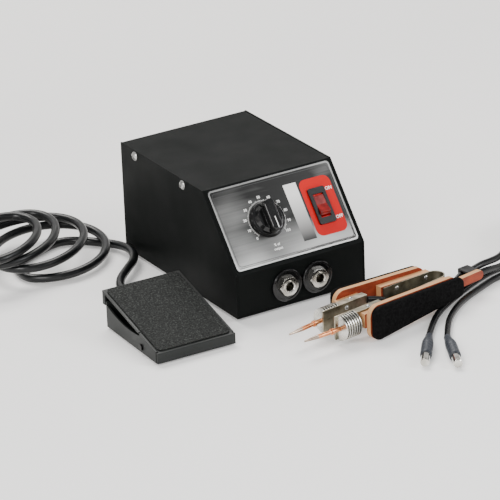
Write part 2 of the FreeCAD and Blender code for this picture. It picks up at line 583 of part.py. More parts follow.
def make_half(side, board_back, foam_back, has_tab):
    """One half of the handpiece, built as the near half and mirrored for the far one."""
    leaf_face = -LEAF_Y - LEAF_T
    board, foam = handle_layers(board_back, foam_back, has_tab)
    block = upright([(36, 7, 0), (95, 8.5, 0), (95, 25.5, 0), (36, 27, 0)], leaf_face, BLOCK_T)
    leaf_screws = [screw((u, -LEAF_Y, z), Y_AXIS) for u, z in LEAF_SPOTS]
    leaf_bores = [rod((u, -LEAF_Y, z), Y_AXIS * -1, 1.15, 6.0) for u, z in LEAF_SPOTS]

    arm_back = -PLATE_Y - ARM_T
    arm_points = [
        (-38, ARM_LOW, 1), (-15, ARM_LOW, 2), (-9, 12, 2),
        (ARM_REAR, 12, 1), (ARM_REAR, ARM_TOP, 0), (-38, ARM_TOP, 1),
    ]
    web = upright(arm_points, -PLATE_Y, ARM_T)
    flange = box((-17.5, arm_back - 6.0, ARM_TOP - ARM_T), (ARM_REAR, arm_back, ARM_TOP))
    face_at, flange_at = (-9.6, -PLATE_Y, 23.0), (-0.8, arm_back - 3.0, ARM_TOP)
    arm_screws = [screw(face_at, Y_AXIS), screw(flange_at, Z_AXIS)]
    arm_bores = [rod(face_at, Y_AXIS * -1, 1.15, 6.0), rod(flange_at, Z_AXIS * -1, 1.15, 6.0)]
    arm = cut(fuse([web, flange]), arm_bores)

    # The spacer carries the arm off the leaning board, so its outer face is cut by the board.
    spacer = box((-13, -30, 12.5), (14, arm_back, ARM_TOP - ARM_T))
    beyond = flared(box((-60, -60, -20), (60, leaf_face - BLOCK_T, 60)))
    spacer = cut(spacer, [beyond] + arm_bores)

    rod_start, rod_end = V(-22.0, -ROD_Y - 0.7, MID_Z), V(TIP_U, -TIP_Y, MID_Z)
    aim = (rod_end - rod_start).normalize()
    reach = (rod_end - rod_start).Length
    tip_l = 15.0
    bar = Part.makeCylinder(ROD_R, reach - tip_l, rod_start, aim)
    collar = Part.makeCylinder(ROD_R + 0.9, 2.6, rod_start + aim * 21.5, aim)
    tip = Part.makeCone(ROD_R, 0.9, tip_l, rod_end - aim * tip_l, aim)

    hub = rod((SINK_U + 0.5, arm_back - 5.0, MID_Z), X_AXIS, 5.0, (FIN_COUNT - 1) * FIN_PITCH)
    fins = []
    for k in range(FIN_COUNT):
        u = SINK_U + k * FIN_PITCH
        disc = rod((u, arm_back - 2.4, MID_Z), X_AXIS, 12.0, FIN_T)
        disc = disc.common(box((u - 1, arm_back - 40, 0), (u + 2, arm_back, 60)))
        corners = [
            e for e in disc.Edges
            if abs(e.Length - FIN_T) < 0.01 and abs(e.CenterOfMass.y - arm_back) < 0.01
        ]
        fins.append(disc.makeFillet(2.6, corners))
    sink = fuse([hub] + fins).cut(bar)

    pieces = {
        "board": flared(board),
        "foam": flared(foam),
        "blocks": [flared(cut(block, leaf_bores)), spacer],
        "electrode_plate": arm,
        "heat_sink": sink,
        "electrode": fuse([bar, collar]),
        "electrode_tip": tip,
        "screws": [flared(s) for s in leaf_screws] + arm_screws,
    }
    for label, shapes in pieces.items():
        if not isinstance(shapes, list):
            shapes = [shapes]
        if side == "far":
            shapes = [shape.mirror(V(0, 0, 0), Y_AXIS) for shape in shapes]
        add(side + "_" + label, *[on_hand(shape) for shape in shapes])


def make_squeeze_spring():
    lean = math.radians(FLARE)
    low, high, tail = 8.5, 26.0, 55.0

    def leg(radius, reach, side):
        """Point on a leg, reach back from where it leaves the bend."""
        u = BEND_U - reach * math.cos(lean) + radius * math.sin(lean)
        y = side * (reach * math.sin(lean) + radius * math.cos(lean))
        return V(u, y, low)

    inner, outer = LEAF_Y, LEAF_Y + LEAF_T
    edges = [
        Part.LineSegment(leg(outer, tail, -1), leg(outer, 0, -1)).toShape(),
        Part.Arc(leg(outer, 0, -1), V(BEND_U + outer, 0, low), leg(outer, 0, 1)).toShape(),
        Part.LineSegment(leg(outer, 0, 1), leg(outer, tail, 1)).toShape(),
        Part.LineSegment(leg(outer, tail, 1), leg(inner, tail, 1)).toShape(),
        Part.LineSegment(leg(inner, tail, 1), leg(inner, 0, 1)).toShape(),
        Part.Arc(leg(inner, 0, 1), V(BEND_U + inner, 0, low), leg(inner, 0, -1)).toShape(),
        Part.LineSegment(leg(inner, 0, -1), leg(inner, tail, -1)).toShape(),
        Part.LineSegment(leg(inner, tail, -1), leg(outer, tail, -1)).toShape(),
    ]
    strip = Part.Face(Part.Wire(edges)).extrude(V(0, 0, high - low))
    nose = [(30, low - 1), (47, low - 1), (38, 19), (30, 19), (30, low - 1)]
    nose = Part.makePolygon([V(u, -20, z) for u, z in nose])
    strip = strip.cut(Part.Face(nose).extrude(V(0, 40, 0)))
    near_bores = [flared(rod((u, -LEAF_Y + 1, z), Y_AXIS * -1, 1.15, 4.0)) for u, z in LEAF_SPOTS]
    far_bores = [bore.mirror(V(0, 0, 0), Y_AXIS) for bore in near_bores]
    add("squeeze_spring", on_hand(cut(strip, near_bores + far_bores)))


# ---------------------------------------------------------------- cords

def sweep(points, radius, label):
    """Cord along straight runs joined by tangent arcs; prints its bend radii and its volume check."""
    points = [V(*p) for p in points]
    edges, radii = [], []
    start = points[0]
    for before, corner, after in zip(points, points[1:], points[2:]):
        back, on = before - corner, after - corner
        shorter = min(back.Length, on.Length)
        turn = math.pi - back.getAngle(on)
        back, on = back.normalize(), on.normalize()
        bend = 0.45 * shorter / math.tan(turn / 2)
        first, last = corner + back * (0.45 * shorter), corner + on * (0.45 * shorter)
        inward = (back + on).normalize()
        middle = corner + inward * (bend / math.cos(turn / 2) - bend)
        edges.append(Part.LineSegment(start, first).toShape())
        edges.append(Part.Arc(first, middle, last).toShape())
        start = last
        radii.append(bend)
    edges.append(Part.LineSegment(start, points[-1]).toShape())
    path = Part.Wire(edges)
    ring = Part.Wire(Part.makeCircle(radius, points[0], points[1] - points[0]))
    solid = path.makePipeShell([ring], True, False)
    share = solid.Volume / (math.pi * radius ** 2 * path.Length)
    bends = ["%.0f" % r for r in radii]
    print(label, "length %.0f" % path.Length, "radii", bends, "volume share %.3f" % share)
    return solid


def ring_solid(centre, semi, hole, heading, low, high):
    """Elliptical ring: the outer shape of a coil of cord."""
    def disc(major, minor):
        curve = Part.Ellipse(V(0, 0, 0), major, minor).toShape() if major > minor else Part.makeCircle(major)
        return Part.Face(Part.Wire(curve)).extrude(V(0, 0, high - low))
    ring = disc(*semi).cut(disc(*hole))
    return placed(ring, V(centre[0], centre[1], low), FreeCAD.Rotation(Z_AXIS, heading))


def hand_point(u, y, z):
    """A handpiece point in the bench frame."""
    return tuple(HAND_AT + FreeCAD.Rotation(Z_AXIS, HAND_YAW).multVec(V(u, y, z)))


FOOT_ROUTE = [
    (-132.6, -18.3, 10.2), (-131.4, 4, 10.0), (-121, 26, 9.4), (-103.5, 43, 9.6),
    (-85, 59, 10.4), (-75.5, 82, 9.6), (-76, 105, 6.4), (-84.5, 124, 4.4),
]
FOOT_TAIL = [(-211, 157, 38), (-226, 163, 30), (-236, 177, 18), (-239, 194, 9.6), (-239, 208, 8.3)]
FOOT_COIL_AT, FOOT_COIL_R, FOOT_COIL_HOLE, FOOT_COIL_H = (-165, 127), (92, 66), (36, 20), 44.5


def make_foot_cord():
    runs = [sweep(FOOT_ROUTE, FOOT_CORD_R, "foot cord"), sweep(FOOT_TAIL, FOOT_CORD_R, "foot cord tail")]
    add("foot_cord", *runs)
    add("foot_cord_coil", ring_solid(FOOT_COIL_AT, FOOT_COIL_R, FOOT_COIL_HOLE, 22, 0, FOOT_COIL_H))
    base = V(*FOOT_TAIL[-1])
    aim = (base - V(*FOOT_TAIL[-2])).normalize()
    aim = V(aim.x, aim.y, 0).normalize()
    grip = Part.makeCylinder(8.0, PLUG_L, base, aim)
    grip = grip.makeFillet(1.5, [e for e in grip.Edges if e.Closed])
    nose = Part.makeCylinder(6.2, 9.0, base + aim * PLUG_L, aim)
    add("foot_cord_plug", fuse([grip, nose]))


LEAD_ENDS = {                 # where each sleeve starts, and the way it points
    "near": ((51.2, -236.1, LEAD_R + 0.4), (-0.615, -0.788)),
    "far": ((62.7, -248.3, LEAD_R + 0.4), (-0.43, -0.903)),
}
CLAMP_U = (122.0, 134.0)
CLAMP_AT = {"near": (-10.9, 15.6), "far": (-4.3, 18.2)}
LEAD_OUT = {
    "near": [(137, -10.3, 15.8), (151, -9.4, 15.6), (165, -7.0, 12.6), (177, -3.0, 10.2), (192, 6, 10.4),
             (208, 21, 9.8), (216, 40, 6.0)],
    "far": [(137, -3.9, 18.8), (151, -3.0, 19.8), (164, -1.6, 18.6), (178, 1.5, 17.4), (193, 10, 17.6),
            (208, 24, 18.6), (216, 41, 19.0)],
}
LEAD_BACK = {
    "near": [(272, -165, 9.6), (250, -166, 7.5), (229, -160, 4.2), (209, -151.5, 3.2), (184, -150, 3.2),
             (153, -162, 3.2), (120, -178.5, 3.2), (89, -197, 3.2), (67, -217.5, 3.2)],
    "far": [(272, -165, 22.1), (250, -170, 17), (229, -172, 9), (206, -166, 3.8), (179, -164.2, 3.2),
            (149, -176.5, 3.2), (117, -191.5, 3.2), (91, -212, 3.2), (75, -231, 3.2)],
}
LEAD_TAIL = {
    "near": [(16.6, -8.1, 22.5), (28, -7.6, 20), (41, -5.6, 13), (56, -4.2, 6.4), (74, -3.9, 4.4),
             (90, -4.7, 4.2), (104, -7.8, 5.2), (114, -10.4, 11)],
    "far": [(16.6, 8.1, 22.5), (28, 7.6, 20), (41, 5.6, 13), (56, 4.2, 6.4), (74, 3.6, 4.4),
            (90, 2.4, 4.2), (105, -0.8, 5.2), (114, -3.6, 12.5)],
}
COIL_AT, COIL_R = (272.0, -122.0), (46.6, 24.2)
COIL_LEVELS = {"near": (0.0, 12.6), "far": (12.7, 25.3)}


def make_leads():
    tails = []
    for name in ("near", "far"):
        y, z = CLAMP_AT[name]
        tail = LEAD_TAIL[name] + [(CLAMP_U[0] - 0.5, y, z)]
        tails.append(sweep([hand_point(*p) for p in tail], LEAD_R, name + " tail"))
        out = [(CLAMP_U[0] - 0.5, y, z), (CLAMP_U[1] - 2, y, z + 0.1)] + LEAD_OUT[name]
        outward = sweep([hand_point(*p) for p in out], LEAD_R, name + " lead out")
        sleeve_at, aim = LEAD_ENDS[name]
        back = sweep(LEAD_BACK[name] + [sleeve_at], LEAD_R, name + " lead back")
        add(name + "_lead", outward, back)
        low, high = COIL_LEVELS[name]
        outer, inner = COIL_R
        add(name + "_lead_coil", ring_solid(COIL_AT, (outer, outer), (inner, inner), 0, low, high))

        start = V(*sleeve_at)
        flat = V(aim[0], aim[1], 0).normalize()
        climb = (flat * SLEEVE_TAPER + Z_AXIS * (SLEEVE_R + 0.05 - start.z)).normalize()
        taper = Part.makeCone(LEAD_R + 0.35, SLEEVE_R, SLEEVE_TAPER, start, climb)
        shoulder = start + climb * SLEEVE_TAPER
        barrel = Part.makeCylinder(SLEEVE_R, SLEEVE_L - SLEEVE_TAPER, shoulder, flat)
        knuckle = Part.makeSphere(SLEEVE_R, shoulder)
        add(name + "_lead_sleeve", fuse([taper, knuckle, barrel]))
        base = shoulder + flat * (SLEEVE_L - SLEEVE_TAPER)
        pin = Part.makeCylinder(PIN_R, PIN_L, base, flat)
        end = base + flat * PIN_L
        rim = [e for e in pin.Edges if e.CenterOfMass.distanceToPoint(end) < 0.1]
        add(name + "_lead_plug", pin.makeChamfer(0.5, rim))
    add("lead_tails", *tails)


def make_lead_clamp():
    """Saddle that holds both leads against the near board's tab."""
    u0, u1 = CLAMP_U
    board_face = -LEAF_Y - LEAF_T - BLOCK_T
    body = box((u0, board_face + 0.5, 11.2), (u1, CLAMP_AT["far"][0] + LEAD_R + 1.2, 23.0))
    bores = [rod((u0 - 1, y, z), X_AXIS, LEAD_R + 0.1, u1 - u0 + 2) for y, z in CLAMP_AT.values()]
    board = flared(box((60, -60, -20), (160, board_face, 60)))
    add("lead_clamp", on_hand(cut(body, bores + [board])))


# ---------------------------------------------------------------- build

make_case()
make_screws_and_feet()
make_panel()
make_power_control()
make_sockets()
make_transformer()
make_board()
make_back_fittings()
make_foot_base()
make_treadle()
make_foot_inside()
make_half("near", 135.5, 105.0, True)
make_half("far", 93.0, 92.0, False)
make_squeeze_spring()
make_foot_cord()
make_leads()
make_lead_clamp()

os.makedirs("parts", exist_ok=True)
for name, shape in NODES.items():
    print(name, "solids", len(shape.Solids), "valid", shape.isValid(), "volume %.0f" % shape.Volume)
    shape.exportStep("parts/" + name + ".step")
print(len(NODES), "nodes")
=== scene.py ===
import math

import bmesh
import bpy
from mathutils import Euler, Matrix, Vector


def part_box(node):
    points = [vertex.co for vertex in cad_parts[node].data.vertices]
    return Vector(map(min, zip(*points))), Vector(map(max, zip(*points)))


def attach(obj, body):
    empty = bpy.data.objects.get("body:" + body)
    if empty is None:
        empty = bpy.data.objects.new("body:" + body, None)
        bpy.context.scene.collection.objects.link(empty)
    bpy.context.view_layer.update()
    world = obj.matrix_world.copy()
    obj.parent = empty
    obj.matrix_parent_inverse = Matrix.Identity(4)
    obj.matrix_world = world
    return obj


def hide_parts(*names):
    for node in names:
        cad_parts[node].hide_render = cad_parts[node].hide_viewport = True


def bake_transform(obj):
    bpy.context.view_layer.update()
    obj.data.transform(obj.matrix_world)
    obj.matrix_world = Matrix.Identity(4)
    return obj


# Bench resistance soldering set: power unit, foot switch and tweezer handpiece on a pale sweep.
# Lengths are in metres; MM turns a size in millimetres into metres.

MM = 0.001
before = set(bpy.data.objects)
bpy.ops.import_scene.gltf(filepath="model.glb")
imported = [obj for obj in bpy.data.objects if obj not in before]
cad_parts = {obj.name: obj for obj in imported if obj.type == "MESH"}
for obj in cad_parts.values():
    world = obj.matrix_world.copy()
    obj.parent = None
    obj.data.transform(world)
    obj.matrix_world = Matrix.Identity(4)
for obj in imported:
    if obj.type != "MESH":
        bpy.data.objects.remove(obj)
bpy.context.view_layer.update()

UNIT_D, EDGE_Z, TOP_Z, SLOPE_RUN = 206, 45, 112, 55   # power unit: depth, slope's ends, slope's run
SLOPE = math.atan2(TOP_Z - EDGE_Z, SLOPE_RUN)
PLATE_FACE = 0.2              # the name plate's outer face, in the slope's own frame
DIAL_X, DIAL_S = -17.8, 44.8   # the knob's axis: across the slope, and up it
KNOB_TOP = PLATE_FACE + 16.6
FOOT_CORD_R, LEAD_R = 4.2, 3.15
FOOT_YAW, HAND_YAW = math.radians(-2.0), math.radians(8.7)
LEAF_BEND_U, LEAF_Y = 93.0, 8.1   # squeeze spring: centre of its bend, and half its inner width

# Frames of the slope (x across it, y up it, z out of it), the foot switch and the handpiece.
ON_SLOPE = Matrix.Translation((0, -UNIT_D / 2 * MM, EDGE_Z * MM)) @ Matrix.Rotation(SLOPE, 4, "X")
ON_FOOT = Matrix.Translation((-176.9 * MM, -140.8 * MM, 0)) @ Matrix.Rotation(FOOT_YAW, 4, "Z")
ON_HAND = Matrix.Translation((12.2 * MM, -182.8 * MM, 0)) @ Matrix.Rotation(HAND_YAW, 4, "Z")


# ---------------------------------------------------------------- pieces

def add_piece(name, data, matrix=None):
    """Put new data into the scene as an object."""
    piece = bpy.data.objects.new(name, data)
    bpy.context.scene.collection.objects.link(piece)
    if matrix is not None:
        piece.matrix_world = matrix
    return piece


def smooth_faces(data):
    for face in data.polygons:
        face.use_smooth = True


def finish_piece(piece, material, body):
    """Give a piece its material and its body."""
    piece.data.materials.append(material)
    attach(piece, body)
    return piece


def rounded_outline(width, height, radius, steps=8):
    """Corner-rounded rectangle about the origin, as (x, y) points."""
    points = []
    for k, (sx, sy) in enumerate(((1, 1), (-1, 1), (-1, -1), (1, -1))):
        for step in range(steps + 1):
            angle = math.radians(90 * (k + step / steps))
            x = sx * (width / 2 - radius) + radius * math.cos(angle)
            y = sy * (height / 2 - radius) + radius * math.sin(angle)
            points.append((x, y))
    return points


def bridge(mesh, low, high):
    """Faces between two rings of as many vertices."""
    for k in range(len(low)):
        after = (k + 1) % len(low)
        mesh.faces.new((low[k], low[after], high[after], high[k]))


def mesh_data(name, mesh):
    """Turn a bmesh into mesh data, and free it."""
    data = bpy.data.meshes.new(name)
    mesh.to_mesh(data)
    mesh.free()
    return data


def prism(name, outline, low, high, place):
    """Solid between two heights over an outline, all in millimetres in the given place."""
    mesh = bmesh.new()
    bottom = [mesh.verts.new((x * MM, y * MM, low * MM)) for x, y in outline]
    top = [mesh.verts.new((x * MM, y * MM, high * MM)) for x, y in outline]
    mesh.faces.new(top)
    mesh.faces.new(list(reversed(bottom)))
    bridge(mesh, bottom, top)
    bmesh.ops.recalc_face_normals(mesh, faces=mesh.faces)
    data = mesh_data(name, mesh)
    data.transform(place)
    return add_piece(name, data)


def film(name, outline, material, thick=0.03):
    """Thin printed patch on the name plate."""
    piece = prism(name, outline, PLATE_FACE, PLATE_FACE + thick, ON_SLOPE)
    finish_piece(piece, material, "base")


def strip_line(points, width):
    """Outline of a line of one width through points."""
    left, right = [], []
    last = len(points) - 1
    for k in range(last + 1):
        along = (Vector(points[min(k + 1, last)]) - Vector(points[max(k - 1, 0)])).normalized()
        side = Vector((-along.y, along.x)) * (width / 2)
        left.append(Vector(points[k]) + side)
        right.append(Vector(points[k]) - side)
    return [(p.x, p.y) for p in left + list(reversed(right))]


def lettering(name, words, x, s, size, material):
    """Printed words on the name plate, centred on (x, s)."""
    text = bpy.data.curves.new(name, "FONT")
    text.body = words
    text.size = size * MM
    text.align_x = "CENTER"
    text.align_y = "CENTER"
    text.offset = 0.11 * MM
    text.extrude = 0.015 * MM
    text.resolution_u = 3
    height = PLATE_FACE + 0.075   # above the patches that it is printed on
    place = ON_SLOPE @ Matrix.Translation((x * MM, s * MM, height * MM))
    finish_piece(add_piece(name, text, place), material, "base")


def cord_curve(name, points, radius, material):
    """Cord along control points in millimetres, as one smooth spline.

    The bevel has radius 1 and the control points scale it, which keeps the curve's box true.
    """
    curve = bpy.data.curves.new(name, "CURVE")
    curve.dimensions = "3D"
    curve.bevel_depth = 1.0
    curve.bevel_resolution = 5
    curve.resolution_u = 10
    curve.use_fill_caps = True
    spline = curve.splines.new("NURBS")
    spline.points.add(len(points) - 1)
    for control, (x, y, z) in zip(spline.points, points):
        control.co = (x * MM, y * MM, z * MM, 1.0)
        control.radius = radius * MM
    spline.order_u = 3
    spline.use_endpoint_u = True
    curve.materials.append(material)
    return add_piece(name, curve)


def hand_point(u, y, z):
    """A handpiece point, in millimetres, in the bench frame."""
    place = ON_HAND @ Vector((u * MM, y * MM, z * MM))
    return tuple(place / MM)


# ---------------------------------------------------------------- materials

class Graph:
    """Small helper for building one node material."""

    def __init__(self, name):
        self.material = bpy.data.materials.new(name)
        self.material.use_nodes = True
        self.tree = self.material.node_tree
        self.shader = self.tree.nodes["Principled BSDF"]
        self.place = self.node("ShaderNodeTexCoord").outputs["Object"]

    def node(self, kind, **settings):
        new = self.tree.nodes.new(kind)
        for key, value in settings.items():
            setattr(new, key, value)
        return new

    def join(self, source, target):
        self.tree.links.new(source, target)

    def feed(self, socket, value):
        """Set a socket, or link it when value is another socket."""
        if isinstance(value, bpy.types.NodeSocket):
            self.join(value, socket)
        else:
            socket.default_value = value

    def stretch(self, x, y, z, vector=None):
        """Coordinates scaled per axis."""
        mapping = self.node("ShaderNodeMapping")
        self.join(vector or self.place, mapping.inputs["Vector"])
        mapping.inputs["Scale"].default_value = (x, y, z)
        return mapping.outputs["Vector"]

    def noise(self, scale, detail=3.0, rough=0.5, vector=None):
        texture = self.node("ShaderNodeTexNoise")
        self.join(vector or self.place, texture.inputs["Vector"])
        texture.inputs["Scale"].default_value = scale
        texture.inputs["Detail"].default_value = detail
        texture.inputs["Roughness"].default_value = rough
        return texture.outputs["Fac"]

    def cells(self, scale):
        texture = self.node("ShaderNodeTexVoronoi")
        self.join(self.place, texture.inputs["Vector"])
        texture.inputs["Scale"].default_value = scale
        return texture.outputs["Distance"]

    def math(self, operation, first, second=0.0):
        sums = self.node("ShaderNodeMath", operation=operation)
        self.feed(sums.inputs[0], first)
        self.feed(sums.inputs[1], second)
        return sums.outputs[0]

    def ramp(self, value, stops):
        """Colour ramp through (position, colour) stops."""
        ramp = self.node("ShaderNodeValToRGB")
        self.join(value, ramp.inputs["Fac"])
        band = ramp.color_ramp
        while len(band.elements) < len(stops):
            band.elements.new(0.5)
        for element, (position, colour) in zip(band.elements, stops):
            element.position = position
            element.color = (*colour, 1.0)
        return ramp.outputs["Color"]

    def range(self, value, low, high, new_low, new_high):
        mapped = self.node("ShaderNodeMapRange")
        self.join(value, mapped.inputs["Value"])
        mapped.inputs["From Min"].default_value = low
        mapped.inputs["From Max"].default_value = high
        mapped.inputs["To Min"].default_value = new_low
        mapped.inputs["To Max"].default_value = new_high
        return mapped.outputs["Result"]

    def edges(self, radius):
        """Softly rounded edges, radius in millimetres."""
        bevel = self.node("ShaderNodeBevel", samples=4)
        bevel.inputs["Radius"].default_value = radius * MM
        return bevel.outputs["Normal"]

    def bump(self, height, strength, distance, normal=None):
        """Relief of a given depth in millimetres."""
        bump = self.node("ShaderNodeBump")
        bump.inputs["Strength"].default_value = strength
        bump.inputs["Distance"].default_value = distance * MM
        self.join(height, bump.inputs["Height"])
        if normal is not None:
            self.join(normal, bump.inputs["Normal"])
        return bump.outputs["Normal"]

    def surface(self, **values):
        """Set the shader's inputs by name."""
        for key, value in values.items():
            name = key.replace("_", " ").title().replace("Ior", "IOR")
            if isinstance(value, tuple) and len(value) == 3:
                value = (*value, 1.0)
            self.feed(self.shader.inputs[name], value)
        return self.material


def texture_paint(name, dark, light, grain, shine):
    """Powder-coated steel: a fine orange-peel grain and slightly uneven sheen."""
    g = Graph(name)
    fine = g.noise(grain, 4.0, 0.6)
    broad = g.noise(18.0, 2.0)
    colour = g.ramp(fine, [(0.3, dark), (0.75, light)])
    roughness = g.range(broad, 0.3, 0.7, 0.42, 0.6)
    return g.surface(
        base_color=colour, roughness=roughness, specular_ior_level=shine,
        normal=g.bump(fine, 0.6, 0.06, g.edges(0.5)),
    )


def moulded(name, colour, rough, edge=0.4, grain=900.0, depth=0.01, coat=0.0, shine=0.3):
    """Moulded plastic or rubber with faint mottling."""
    g = Graph(name)
    mottle = g.noise(60.0, 3.0)
    lighter = tuple(c * 1.25 + 0.004 for c in colour)
    tint = g.ramp(mottle, [(0.3, colour), (0.8, lighter)])
    fine = g.noise(grain, 2.0)
    roughness = g.range(mottle, 0.3, 0.7, rough * 0.85, rough * 1.15)
    return g.surface(
        base_color=tint, roughness=roughness, specular_ior_level=shine,
        normal=g.bump(fine, 0.35, depth, g.edges(edge)), coat_weight=coat, coat_roughness=0.12,
    )


def metal(name, colour, rough, along=(1, 1, 1), grain=300.0, tarnish=None):
    """Metal with a directional grain and a little tarnish."""
    g = Graph(name)
    streak = g.noise(grain, 4.0, 0.6, g.stretch(*along))
    broad = g.noise(90.0, 3.0)
    worn = tarnish or tuple(c * 0.72 for c in colour)
    return g.surface(
        base_color=g.ramp(broad, [(0.35, worn), (0.62, colour)]), metallic=1.0,
        roughness=g.range(streak, 0.25, 0.75, rough * 0.75, rough * 1.3),
        normal=g.bump(streak, 0.4, 0.01, g.edges(0.25)),
    )


def layered_board():
    """Laminated board: red-brown faces, tan layered edges."""
    g = Graph("laminated_board")
    geometry = g.node("ShaderNodeNewGeometry")
    turned = g.node("ShaderNodeVectorRotate", rotation_type="Z_AXIS")
    g.join(geometry.outputs["Normal"], turned.inputs["Vector"])
    turned.inputs["Angle"].default_value = -HAND_YAW
    parts = g.node("ShaderNodeSeparateXYZ")
    g.join(turned.outputs["Vector"], parts.inputs["Vector"])
    facing = g.math("ABSOLUTE", parts.outputs["Y"])
    is_face = g.range(facing, 0.8, 0.9, 0.0, 1.0)
    place = g.node("ShaderNodeVectorRotate", rotation_type="Z_AXIS")
    g.join(g.place, place.inputs["Vector"])
    place.inputs["Angle"].default_value = -HAND_YAW
    layers = g.node("ShaderNodeTexWave", wave_type="BANDS", bands_direction="Y")
    g.join(place.outputs["Vector"], layers.inputs["Vector"])
    layers.inputs["Scale"].default_value = 210.0
    layers.inputs["Distortion"].default_value = 1.2
    fibre = g.noise(260.0, 4.0, 0.6, g.stretch(0.25, 1.0, 1.0, place.outputs["Vector"]))
    edge = g.ramp(layers.outputs["Fac"], [(0.1, (0.42, 0.2, 0.085)), (0.6, (0.62, 0.36, 0.17))])
    face = g.ramp(fibre, [(0.3, (0.16, 0.023, 0.009)), (0.7, (0.32, 0.052, 0.018))])
    blend = g.node("ShaderNodeMix", data_type="RGBA")
    g.join(is_face, blend.inputs["Factor"])
    g.join(edge, blend.inputs["A"])
    g.join(face, blend.inputs["B"])
    return g.surface(
        base_color=blend.outputs["Result"], specular_ior_level=0.25,
        roughness=g.range(fibre, 0.3, 0.7, 0.42, 0.62),
        normal=g.bump(fibre, 0.4, 0.05, g.edges(0.4)),
    )


def brushed_plate(name, dark, light):
    """Brushed aluminium: grain across the slope, cloudy above, and a painted highlight that
    brightens it along the lower edge.
    """
    g = Graph(name)
    streak = g.noise(500.0, 5.0, 0.6, g.stretch(0.02, 1.0, 1.0))
    cloud = g.noise(13.0, 2.0, 0.5, g.stretch(1.0, 1.0, 1.6))
    parts = g.node("ShaderNodeSeparateXYZ")
    g.join(g.place, parts.inputs["Vector"])
    # painted highlight: the plate's colour is brightened towards its lower edge
    low = g.range(parts.outputs["Z"], 0.05, 0.078, 0.36, 0.0)
    tone = g.math("ADD", g.math("ADD", cloud, low), g.math("MULTIPLY", streak, 0.12))
    return g.surface(
        base_color=g.ramp(tone, [(0.57, dark), (1.02, light)]), metallic=0.6, anisotropic=0.5,
        roughness=g.range(streak, 0.3, 0.7, 0.32, 0.46),
        normal=g.bump(streak, 0.5, 0.012, g.edges(0.2)),
    )


def printed(name, low, high, start, end):
    """Printed field that shades from one colour to another between two heights in millimetres."""
    g = Graph(name)
    parts = g.node("ShaderNodeSeparateXYZ")
    g.join(g.place, parts.inputs["Vector"])
    up = g.range(parts.outputs["Z"], start * MM, end * MM, 0.0, 1.0)
    speck = g.noise(700.0, 3.0)
    return g.surface(
        base_color=g.ramp(up, [(0.0, low), (1.0, high)]), specular_ior_level=0.18,
        roughness=g.range(speck, 0.3, 0.7, 0.42, 0.55),
    )


def foam_rubber():
    """Closed-cell foam: matt black with fine open pores."""
    g = Graph("foam_rubber")
    pores = g.cells(900.0)
    clumps = g.noise(420.0, 4.0, 0.7)
    height = g.math("ADD", pores, clumps)
    colour = g.ramp(clumps, [(0.35, (0.0015, 0.0015, 0.0016)), (0.75, (0.009, 0.009, 0.0092))])
    return g.surface(
        base_color=colour, roughness=0.95, specular_ior_level=0.06,
        normal=g.bump(height, 0.8, 0.16),
    )


def grit_sheet():
    """Anti-slip sheet: packed grains, some of them catching the light."""
    g = Graph("grit_sheet")
    grains = g.cells(520.0)
    speck = g.noise(640.0, 3.0, 0.75)
    colour = g.ramp(speck, [
        (0.38, (0.0025, 0.003, 0.0027)), (0.56, (0.010, 0.0115, 0.0105)),
        (0.72, (0.05, 0.055, 0.05)),
    ])
    return g.surface(
        specular_ior_level=0.25, base_color=colour, roughness=g.range(speck, 0.4, 0.8, 0.85, 0.5),
        normal=g.bump(g.math("ADD", grains, speck), 1.0, 0.3, g.edges(0.5)),
    )


def tinted_rocker():
    """Clear red rocker moulding, dark inside."""
    g = Graph("tinted_rocker")
    depth = g.noise(160.0, 2.0)
    return g.surface(
        base_color=g.ramp(depth, [(0.3, (0.14, 0.002, 0.002)), (0.75, (0.38, 0.008, 0.006))]),
        roughness=g.range(depth, 0.3, 0.7, 0.14, 0.24), coat_weight=0.6, coat_roughness=0.06,
        transmission_weight=0.15, ior=1.49, normal=g.edges(0.5),
    )


def vinyl(name, colour, rough, ripple=0.03):
    """Cord jacket with a faint extrusion ripple and dust."""
    g = Graph(name)
    dust = g.noise(140.0, 4.0, 0.6)
    wave = g.noise(45.0, 2.0)
    tint = g.ramp(dust, [(0.45, colour), (0.85, tuple(c * 1.5 + 0.004 for c in colour))])
    return g.surface(
        base_color=tint, roughness=g.range(dust, 0.3, 0.7, rough * 0.8, rough * 1.2),
        specular_ior_level=0.3, normal=g.bump(wave, 0.3, ripple),
        coat_weight=0.15, coat_roughness=0.14,
    )


def plain_ink(name, colour):
    """Flat printing ink, a little uneven in its gloss."""
    g = Graph(name)
    speck = g.noise(1500.0, 2.0)
    return g.surface(base_color=colour, roughness=g.range(speck, 0.3, 0.7, 0.4, 0.5))


BLACK_PAINT = texture_paint(
    "black_texture_paint", (0.002, 0.0026, 0.0024), (0.006, 0.0072, 0.0068), 2400.0, 0.06,
)
PEDAL_PAINT = texture_paint(
    "pedal_paint", (0.008, 0.0092, 0.0088), (0.017, 0.0195, 0.0185), 2000.0, 0.28,
)
PLATE = brushed_plate("brushed_plate", (0.018, 0.018, 0.0175), (0.42, 0.42, 0.41))
PLATE_RIM = brushed_plate("bright_rim", (0.26, 0.26, 0.255), (0.6, 0.6, 0.59))
STEEL = metal("zinc_steel", (0.62, 0.62, 0.6), 0.3, tarnish=(0.34, 0.34, 0.33))
NICKEL = metal("bright_nickel", (0.82, 0.8, 0.75), 0.16, grain=500.0, tarnish=(0.5, 0.48, 0.43))
OLIVE = metal(
    "heat_darkened_strip", (0.42, 0.39, 0.3), 0.34, (0.15, 1, 1), 500.0, tarnish=(0.2, 0.185, 0.14),
)
FIN = metal("turned_fins", (0.8, 0.78, 0.72), 0.28, (1, 1, 1), 600.0, tarnish=(0.42, 0.41, 0.37))
COPPER = metal("copper", (0.78, 0.34, 0.16), 0.28, (0.1, 1, 1), 400.0, tarnish=(0.48, 0.17, 0.07))
